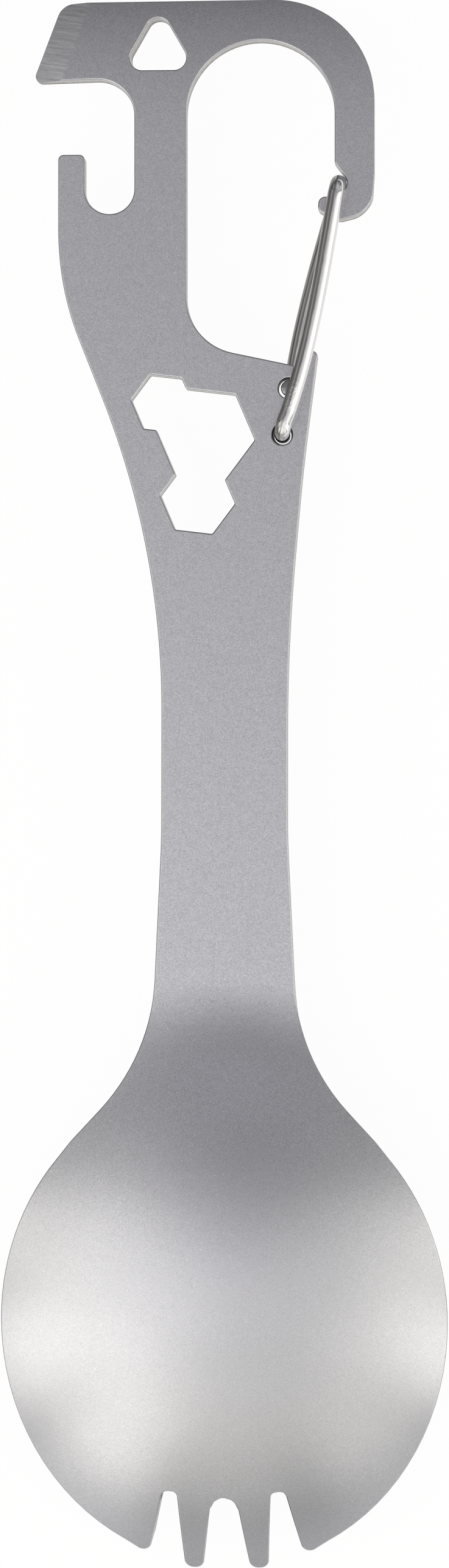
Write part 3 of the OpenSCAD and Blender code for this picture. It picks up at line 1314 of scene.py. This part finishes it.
@dataclass
class StampedPlate:
    """The plate: punched, tumbled, ground at its tip and pressed.

    Attributes:
        outline: its outline and holes.
        sheet: the pressed surface.
        edge_r: radius of the tumbled edges.
        land: width of the narrow flat kept beside each rounded edge.
        cell: size of the squares that bend over the dome.
        snap: a cut between squares goes through the vertices that are this near.
        grind_w: width of the ground face.
        grind_edge_t: thickness left at the tip.
        lean: how far the triangular hole's wall leans from the front to the back.
        staked_r: radius of the front pin's bore at the back.
        smooth_to: edges sharper than this many degrees stay sharp.
    """

    outline: PlateOutline = field(default_factory=PlateOutline)
    sheet: PressedSheet = field(default_factory=PressedSheet)
    edge_r: float = 0.12
    land: float = 0.05
    cell: float = 0.9
    snap: float = 1e-4
    grind_w: float = 2.6
    grind_edge_t: float = 0.7
    lean: tuple[float, float] = (0.13, -0.07)
    staked_r: float = 0.79
    smooth_to: float = 38.0

    @property
    def half(self) -> float:
        """Half of the sheet's thickness."""
        return self.sheet.thickness / 2

    @property
    def tip_outwards(self) -> Vector:
        """The direction square to the tip's edge, out of the plate."""
        along = (Vector(self.outline.tip_low) - Vector(self.outline.tip_high)).normalized()
        return Vector((along.y, -along.x))

    @property
    def grind_start(self) -> Vector:
        """A point on the line where the ground face starts."""
        return Vector(self.outline.tip_high) - self.tip_outwards * self.grind_w

    def punched(
        self,
    ) -> tuple[bmesh.types.BMesh, list[bmesh.types.BMFace], list[bmesh.types.BMFace]]:
        """Fills the outline and gives it its thickness.

        Returns:
            The mesh, its front faces and its back faces.
        """
        bm = bmesh.new()
        edges = []
        for loop in self.outline.loops():
            verts = [bm.verts.new((p.x, p.y, self.edge_r - self.half)) for p in loop]
            edges += [bm.edges.new(pair) for pair in zip(verts, verts[1:] + verts[:1])]
        bmesh.ops.triangle_fill(bm, use_beauty=True, use_dissolve=False, edges=edges, normal=(0, 0, 1))
        for edge in bm.edges:
            edge.seam = not edge.is_boundary
        back = bm.faces[:]
        front = back
        upright = 2 * (self.half - self.edge_r)
        for rise in (self.land, upright - 2 * self.land, self.land):
            grown = bmesh.ops.extrude_face_region(bm, geom=front)
            if front is not back:
                bmesh.ops.delete(bm, geom=front, context="FACES")
            front = [g for g in grown["geom"] if isinstance(g, bmesh.types.BMFace)]
            lifted = list({v for f in front for v in f.verts})
            bmesh.ops.translate(bm, vec=(0, 0, rise), verts=lifted)
        bmesh.ops.recalc_face_normals(bm, faces=bm.faces[:])
        if bm.calc_volume(signed=True) < 0:
            bmesh.ops.reverse_faces(bm, faces=bm.faces[:])
        flat = set(front) | set(back)
        for face in bm.faces:
            face.material_index = (Surface.BACK if face in flat else Surface.WALL).value
        for face in front:
            face.material_index = Surface.FRONT.value
        return bm, front, back

    def tumble(
        self, bm: bmesh.types.BMesh, faces: list[bmesh.types.BMFace], segments: int = 3
    ) -> None:
        """Rounds the edge of one face of the plate and keeps a narrow flat beside it.

        Args:
            bm: the plate.
            faces: the faces of its front or of its back.
            segments: steps of the rounding.
        """
        way = 1 if faces[0].normal.z > 0 else -1
        for i in range(segments + 1):
            turn, last = (math.pi / 2 * min(segments, k) / segments for k in (i + 1, i))
            width = self.edge_r * (math.cos(last) - math.cos(turn)) if i < segments else self.land
            ring = bmesh.ops.inset_region(
                bm, faces=faces, use_boundary=True, use_even_offset=True, thickness=width, depth=0.0
            )
            rise = way * self.edge_r * (math.sin(turn) - math.sin(last))
            lifted = list({v for f in faces for v in f.verts})
            bmesh.ops.translate(bm, vec=(0, 0, rise), verts=lifted)
            if i < segments:
                for face in ring["faces"]:
                    face.material_index = Surface.RIM.value

    def grind(self, bm: bmesh.types.BMesh) -> None:
        """Grinds the driver tip's slanted face into the front.

        Args:
            bm: the plate, still flat.
        """
        start, out = self.grind_start, self.tip_outwards
        slope = math.atan2(2 * self.half - self.grind_edge_t, self.grind_w)
        normal = Vector((out.x * math.sin(slope), out.y * math.sin(slope), math.cos(slope)))
        plane = Vector((start.x, start.y, self.half))
        touched = [f for f in bm.faces if any((v.co - plane).dot(normal) > 0 for v in f.verts)]
        cut = bmesh.ops.bisect_plane(
            bm,
            geom=with_sides(touched),
            dist=TOUCH,
            plane_co=plane,
            plane_no=normal,
            clear_outer=True,
        )
        border = [g for g in cut["geom_cut"] if isinstance(g, bmesh.types.BMEdge)]
        for edge in border:
            edge.smooth = False
        made = bmesh.ops.contextual_create(bm, geom=border, mat_nr=Surface.FRONT.value)
        bmesh.ops.triangulate(bm, faces=made["faces"])

    def square_up(self, bm: bmesh.types.BMesh) -> None:
        """Cuts the bowl's part of the sheet into squares, so that it can follow the dome.

        Args:
            bm: the plate, still flat.
        """
        limit = self.sheet.flat_y
        count = math.ceil((limit - self.outline.tine_y) / self.cell)
        rows = [limit - self.cell * i for i in range(count)]
        reach = int(self.outline.bowl_half_w / self.cell)
        columns = [self.cell * i for i in range(-reach, reach + 1)]
        planes = [(Vector((0, y, 0)), Vector((0, 1, 0))) for y in rows]
        planes += [(Vector((x, 0, 0)), Vector((1, 0, 0))) for x in columns]
        for i, (point, normal) in enumerate(planes):
            faces = [f for f in bm.faces if i == 0 or f.calc_center_median().y < limit]
            bmesh.ops.bisect_plane(
                bm, geom=with_sides(faces), dist=self.snap, plane_co=point, plane_no=normal
            )
        old = [e for e in bm.edges if e.seam and all(v.co.y < limit + self.snap for v in e.verts)]
        old = [e for e in old if len(e.link_faces) == 2]
        bmesh.ops.dissolve_edges(bm, edges=old, use_verts=False, use_face_split=False)
        for edge in bm.edges:
            edge.seam = False

    def mark(self, bm: bmesh.types.BMesh) -> None:
        """Marks the bores' walls, and writes the values that the finishes read.

        Args:
            bm: the plate, still flat.
        """
        pivots = [Vector(self.outline.pivot_low), Vector(self.outline.pivot_high)]
        reach = self.outline.pivot_r + self.edge_r
        for face in [f for f in bm.faces if f.material_index == Surface.WALL.value]:
            middle = face.calc_center_median().to_2d()
            if any((middle - p).length < reach for p in pivots):
                face.material_index = Surface.BORE.value
        layers = {name: bm.verts.layers.float.new(name) for name in ("level", "rim", "light_facing")}
        worn = {v for f in bm.faces if f.material_index == Surface.RIM.value for v in f.verts}
        bm.normal_update()
        for vert in bm.verts:
            vert[layers["level"]] = vert.co.z / self.half
            vert[layers["rim"]] = 1.0 if vert in worn else 0.0
            # How far each vertex faces the light, which the rims' painted shade reads.
            vert[layers["light_facing"]] = (vert.normal.x - vert.normal.y) * math.sqrt(0.5)

    def lean_triangle(self, bm: bmesh.types.BMesh) -> None:
        """Leans the triangular hole's wall, because its punch came in askew.

        Args:
            bm: the plate, still flat.
        """
        middle = Vector(self.outline.triangle_at)
        for vert in bm.verts:
            if (vert.co.to_2d() - middle).length < self.outline.triangle_reach:
                deep = (self.half - vert.co.z) / (2 * self.half)
                vert.co += Vector((self.lean[0] * deep, self.lean[1] * deep, 0.0))

    def close_bore(self, bm: bmesh.types.BMesh) -> None:
        """Narrows the front pin's bore towards the back, where the pin was staked.

        Args:
            bm: the plate, still flat.
        """
        middle = Vector(self.outline.pivot_low)
        for vert in bm.verts:
            out = vert.co.to_2d() - middle
            if out.length < 2 * self.outline.pivot_r:
                deep = (self.half - vert.co.z) / (2 * self.half)
                out *= -deep * (1.0 - self.staked_r / self.outline.pivot_r)
                vert.co += out.to_3d()

    def build(self) -> bpy.types.Object:
        """Builds the plate.

        Returns:
            The plate's object, without its finishes.
        """
        bm, front, back = self.punched()
        for faces in (front, back):
            self.tumble(bm, faces)
        self.grind(bm)
        self.square_up(bm)
        self.mark(bm)
        self.lean_triangle(bm)
        self.close_bore(bm)
        for vert in bm.verts:
            vert.co = self.sheet.place(vert.co)
        return finished_object(bm, "plate", self.smooth_to)

    def dress(self, plate: bpy.types.Object) -> None:
        """Gives each kind of surface its finish.

        Args:
            plate: the plate's object.
        """
        turn = math.degrees(math.atan2(self.tip_outwards.y, self.tip_outwards.x))
        start = (self.grind_start.x, self.grind_start.y)
        finishes = {
            Surface.FRONT: BlastedFace("blasted_front", ground=True, grind_at=start, grind_turn=turn),
            Surface.BACK: BlastedFace("blasted_back"),
            Surface.WALL: ShearedWall(),
            Surface.RIM: TumbledRim(),
            Surface.BORE: ShadedBore(),
        }
        for surface in Surface:
            plate.data.materials.append(finishes[surface].material())


@dataclass
class WireGate:
    """The gate: one loop of spring wire, made as its two sides, which meet in its crown.

    Attributes:
        wire_r: the wire's radius.
        bend_r: radius of its bends, on its centre line.
        height: height of the front side over the plate's middle plane.
        half_plate: half of the plate's thickness.
        crown: where the crown crosses the plate.
        front_pivot: the hole of the front side's pin.
        back_pivot: the hole of the back side's pin.
        front_bow: how far the front side bows to the right.
        back_bow: how far the back side bows to the left.
        bow_lean: under 1 the bow is widest nearer to the pin than to the crown.
        pin_ease: width of the bevel round the pin's end.
        bend_steps: the steps of each bend.
        leg_steps: the steps between the two bends.
        sides: sides of the wire's round.
        smooth_to: edges sharper than this many degrees stay sharp.
    """

    wire_r: float = 0.75
    bend_r: float = 1.2
    height: float = 1.95
    half_plate: float = PressedSheet.thickness / 2
    crown: tuple[float, float] = (10.79, 56.64)
    front_pivot: tuple[float, float] = PlateOutline.pivot_low
    back_pivot: tuple[float, float] = PlateOutline.pivot_high
    front_bow: float = 0.5
    back_bow: float = 0.3
    bow_lean: float = 0.76
    pin_ease: float = 0.22
    bend_steps: int = 10
    leg_steps: int = 40
    sides: int = 28
    smooth_to: float = 60.0

    def centre_line(self, pivot: tuple[float, float], bow: float) -> list[Vector]:
        """The centre line of one side, from its pin's end over its leg to the middle of the crown.

        Args:
            pivot: the hole that its pin stands in.
            bow: how far it bows to the right.

        Returns:
            The points, for the side over the plate.
        """
        start, end = Vector((*pivot, 0.0)), Vector((*self.crown, 0.0))
        length = (end - start).length
        along = (end - start).normalized()
        right = Vector((along.y, -along.x, 0.0))
        foot = self.height - self.bend_r
        inner = length - 2 * self.bend_r
        turns = [math.pi / 2 * i / self.bend_steps for i in range(self.bend_steps + 1)]
        local = [(0.0, z) for z in (-self.half_plate, -self.half_plate / 2, 0.0, foot / 2)]
        local += [(self.bend_r * (1 - math.cos(a)), foot + self.bend_r * math.sin(a)) for a in turns]
        local += [
            (self.bend_r + inner * i / self.leg_steps, self.height) for i in range(1, self.leg_steps)
        ]
        local += [
            (length - self.bend_r * (1 - math.sin(a)), foot + self.bend_r * math.cos(a)) for a in turns
        ]
        local += [(length, foot / 2), (length, 0.0)]
        points = []
        for run, z in local:
            share = max(0.0, min(1.0, (run - self.bend_r) / inner))
            push = bow * math.sin(math.pi * share**self.bow_lean)
            points.append(start + along * run + right * push + Vector((0.0, 0.0, z)))
        return points

    def frames(self, pivot: tuple[float, float], bow: float) -> list[Matrix]:
        """Sets a frame at each point of one side's centre line: X to the right, Z along the wire.

        Args:
            pivot: the hole that its pin stands in.
            bow: how far it bows to the right.

        Returns:
            The frames, for the side over the plate.
        """
        points = self.centre_line(pivot, bow)
        way = (Vector((*self.crown, 0.0)) - Vector((*pivot, 0.0))).normalized()
        across = Vector((way.y, -way.x, 0.0))
        frames = []
        for point, before, after in zip(points, points[:1] + points, points[1:] + points[-1:]):
            tangent = (after - before).normalized()
            side = (across - tangent * across.dot(tangent)).normalized()
            axes = Matrix((side, tangent.cross(side), tangent)).transposed()
            frames.append(Matrix.Translation(point) @ axes.to_4x4())
        return frames

    def side(self, name: str, pivot: tuple[float, float], bow: float, under: bool) -> bpy.types.Object:
        """Builds one side of the loop.

        Args:
            name: the object's name.
            pivot: the hole that its pin stands in.
            bow: how far it bows to the right.
            under: whether it runs under the plate.

        Returns:
            The side's object.
        """
        frames = self.frames(pivot, bow)
        bm = bmesh.new()
        bmesh.ops.create_circle(
            bm, cap_ends=False, segments=self.sides, radius=self.wire_r, matrix=frames[0]
        )
        first = ring = bm.edges[:]
        for old, new in zip(frames, frames[1:]):
            grown = bmesh.ops.extrude_edge_only(bm, edges=ring)["geom"]
            verts = [g for g in grown if isinstance(g, bmesh.types.BMVert)]
            edges = [g for g in grown if isinstance(g, bmesh.types.BMEdge)]
            ring = [e for e in edges if all(v in verts for v in e.verts)]
            bmesh.ops.transform(bm, matrix=new @ old.inverted(), verts=verts)
        bmesh.ops.holes_fill(bm, edges=first, sides=0)
        bmesh.ops.bevel(
            bm,
            geom=first,
            offset=self.pin_ease,
            offset_type="OFFSET",
            segments=4,
            profile=0.5,
            affect="EDGES",
            material=-1,
        )
        bmesh.ops.holes_fill(bm, edges=ring, sides=0)
        layer = bm.verts.layers.float.new("across")
        for vert in bm.verts:
            nearest = min(frames, key=lambda f: (f.translation - vert.co).length)
            vert[layer] = (nearest.inverted() @ vert.co).x / self.wire_r
        if under:
            bmesh.ops.scale(bm, vec=(1.0, 1.0, -1.0), verts=bm.verts[:])
        bmesh.ops.remove_doubles(bm, verts=bm.verts[:], dist=TOUCH)
        bmesh.ops.recalc_face_normals(bm, faces=bm.faces[:])
        return finished_object(bm, name, self.smooth_to)

    def build(self) -> dict[str, bpy.types.Object]:
        """Builds both sides.

        Returns:
            The two objects by the body that each moves with.
        """
        return {
            "front_leg": self.side("front_wire", self.front_pivot, self.front_bow, False),
            "back_leg": self.side("back_wire", self.back_pivot, -self.back_bow, True),
        }

    def dress(self, sides: dict[str, bpy.types.Object]) -> None:
        """Gives the wire its finish.

        Args:
            sides: the two objects.
        """
        for side in sides.values():
            side.data.materials.append(DrawnWire().material())


def direction(tilt: float, turn: float) -> Vector:
    """Returns a direction from the object.

    Args:
        tilt: its angle from straight above, in degrees.
        turn: its turn from +X towards +Y, in degrees.

    Returns:
        The direction, with a length of 1.
    """
    away = Matrix.Rotation(math.radians(turn), 3, "Z") @ Matrix.Rotation(math.radians(tilt), 3, "Y")
    return away @ Vector((0.0, 0.0, 1.0))


@dataclass(frozen=True)
class SoftSource:
    """A soft source of light that shines through the tent.

    Attributes:
        tilt: its angle from straight above, in degrees.
        turn: its turn from +X towards +Y, in degrees.
        spread: how far from its middle it has faded to a third, in degrees.
        watts: what it gives a panel at its middle.
    """

    tilt: float
    turn: float
    spread: float
    watts: float

    def power(self, way: Vector) -> float:
        """Finds the power that it gives one panel.

        Args:
            way: the direction from the object to the panel.

        Returns:
            The power, in watts.
        """
        off = math.degrees(way.angle(direction(self.tilt, self.turn)))
        return self.watts * math.exp(-((off / self.spread) ** 2))


@dataclass(frozen=True)
class LightTent:
    """A dome of small soft panels around the object, lit from outside by a few soft sources.

    Attributes:
        rings: each ring's angle from straight above, in degrees, and the number of its panels.
        sources: the sources: over the head, over the neck, at the left and round the tines' end,
            and low down at both sides.
        size: a panel's side, in metres.
        away: the panels' distance from the object, in metres.
        warm: the colour of the low panels at the sides and at the tines' end.
        cool: the colour of those overhead and at the head's end.
        cool_tilt: from straight above to here the cool colour fades, in degrees.
    """

    rings: tuple[tuple[float, int], ...] = ((8, 4), (20, 8), (34, 8), (48, 12), (62, 12), (76, 12))
    sources: tuple[SoftSource, ...] = (
        SoftSource(48, 60, 18, 0.037),
        SoftSource(60, 105, 25, 0.053),
        SoftSource(36, 165, 12, 0.14),
        SoftSource(42, 225, 25, 0.091),
        SoftSource(60, 225, 50, 0.055),
        SoftSource(72, 240, 12, 0.079),
        SoftSource(60, 300, 35, 0.053),
        SoftSource(36, 345, 18, 0.071),
        SoftSource(90, 195, 35, 0.19),
        SoftSource(90, 345, 35, 0.27),
    )
    size: float = 0.2
    away: float = 0.5
    warm: tuple[float, float, float] = (1.005, 1.0, 0.93)
    cool: tuple[float, float, float] = (0.995, 0.99, 1.04)
    cool_tilt: float = 40.0

    def hang(self) -> None:
        """Puts the panels into the scene."""
        for tilt, count in self.rings:
            for i in range(count):
                self.panel(tilt, 360 * i / count)

    def panel(self, tilt: float, turn: float) -> None:
        """Hangs one panel.

        Args:
            tilt: its angle from straight above, in degrees.
            turn: its turn from +X towards +Y, in degrees.
        """
        way = direction(tilt, turn)
        data = bpy.data.lights.new("panel", "AREA")
        data.shape = "SQUARE"
        data.size = self.size
        data.energy = sum(source.power(way) for source in self.sources)
        overhead = max(0.0, 1 - tilt / self.cool_tilt)
        share = min(1.0, overhead + max(0.0, math.sin(math.radians(turn))))
        data.color = [a + (b - a) * share for a, b in zip(self.warm, self.cool)]
        lamp = bpy.data.objects.new("panel", data)
        lamp.location = way * self.away
        lamp.rotation_mode = "QUATERNION"
        lamp.rotation_quaternion = (-way).to_track_quat("-Z", "Y")
        bpy.context.scene.collection.objects.link(lamp)


@dataclass
class Studio:
    """The pale floor, the soft light and the camera over the plate.

    Attributes:
        eye: the camera's place, in millimetres in the frame.
        aim: the point that it looks at.
        view_height: what the picture's height shows at that point, in millimetres.
        tent: the soft panels.
        ambient: strength of the light from all around.
        floor_half_w: half the floor's width, in metres.
        paper: the floor's tone.
        glow_share: how much of it is plain white to the camera and in reflections.
    """

    eye: tuple[float, float, float] = (22.0, 0.478, 408.2)
    aim: tuple[float, float, float] = (0.03, 0.478, 8.2)
    view_height: float = 148.05
    tent: LightTent = field(default_factory=LightTent)
    ambient: float = 0.1
    floor_half_w: float = 3.0
    paper: float = 0.93
    glow_share: float = 0.95

    def floor(self) -> None:
        """Lays the floor."""
        bm = bmesh.new()
        bmesh.ops.create_grid(bm, x_segments=1, y_segments=1, size=self.floor_half_w)
        mesh = bpy.data.meshes.new("floor")
        bm.to_mesh(mesh)
        bm.free()
        floor = bpy.data.objects.new("floor", mesh)
        bpy.context.scene.collection.objects.link(floor)
        paper = bpy.data.materials.new("paper")
        paper.use_nodes = True
        tree = paper.node_tree
        shader = tree.nodes["Principled BSDF"]
        shader.inputs["Base Color"].default_value = (self.paper, self.paper, self.paper, 1.0)
        shader.inputs["Roughness"].default_value = 0.9
        glow = tree.nodes.new("ShaderNodeEmission")
        glow.inputs["Strength"].default_value = 1.0
        rays = tree.nodes.new("ShaderNodeLightPath")
        seen = rays.outputs["Is Camera Ray"]
        for ray in ("Is Glossy Ray", "Is Transmission Ray"):
            seen = add_math(tree, "MAXIMUM", seen, rays.outputs[ray])
        mix = tree.nodes.new("ShaderNodeMixShader")
        tree.links.new(add_math(tree, "MULTIPLY", seen, self.glow_share), mix.inputs["Fac"])
        tree.links.new(shader.outputs[0], mix.inputs[1])
        tree.links.new(glow.outputs[0], mix.inputs[2])
        tree.links.new(mix.outputs[0], tree.nodes["Material Output"].inputs["Surface"])
        mesh.materials.append(paper)

    def light(self) -> None:
        """Hangs the panels and sets the light from all around."""
        self.tent.hang()
        world = bpy.data.worlds.new("studio")
        world.use_nodes = True
        background = world.node_tree.nodes["Background"]
        background.inputs["Color"].default_value = (1.0, 1.0, 1.0, 1.0)
        background.inputs["Strength"].default_value = self.ambient
        bpy.context.scene.world = world

    def camera(self) -> None:
        """Sets up the camera as the photograph's stood."""
        eye, aim = Vector(self.eye) * MM, Vector(self.aim) * MM
        data = bpy.data.cameras.new("camera")
        data.sensor_width = 36.0
        data.lens = data.sensor_width * (eye - aim).length / MM / self.view_height
        data.clip_start, data.clip_end = 0.01, 20.0
        camera = bpy.data.objects.new("camera", data)
        back = (eye - aim).normalized()
        side = Vector((0.0, 1.0, 0.0)).cross(back).normalized()
        axes = Matrix((side, back.cross(side), back)).transposed()
        camera.matrix_world = Matrix.Translation(eye) @ axes.to_4x4()
        bpy.context.scene.collection.objects.link(camera)
        bpy.context.scene.camera = camera

    def set_up(self) -> None:
        """Sets up floor, light, camera and the plain view transform."""
        self.floor()
        self.light()
        self.camera()
        bpy.context.scene.view_settings.view_transform = "Standard"


def main() -> None:
    """Builds the pieces, dresses them, and sets up the studio."""
    logging.basicConfig(level=logging.INFO, format="%(name)s: %(message)s")
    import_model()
    stamped = StampedPlate()
    plate = stamped.build()
    stamped.dress(plate)
    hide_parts("spork_body")
    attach(plate, "plate")
    LOG.info("plate: %d faces", len(plate.data.polygons))
    gate = WireGate()
    sides = gate.build()
    gate.dress(sides)
    for body, node in (("front_leg", "gate_front_leg"), ("back_leg", "gate_back_leg")):
        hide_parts(node)
        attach(sides[body], body)
        LOG.info("%s: %d faces", sides[body].name, len(sides[body].data.polygons))
    Studio().set_up()


if __name__ == "__main__":
    main()
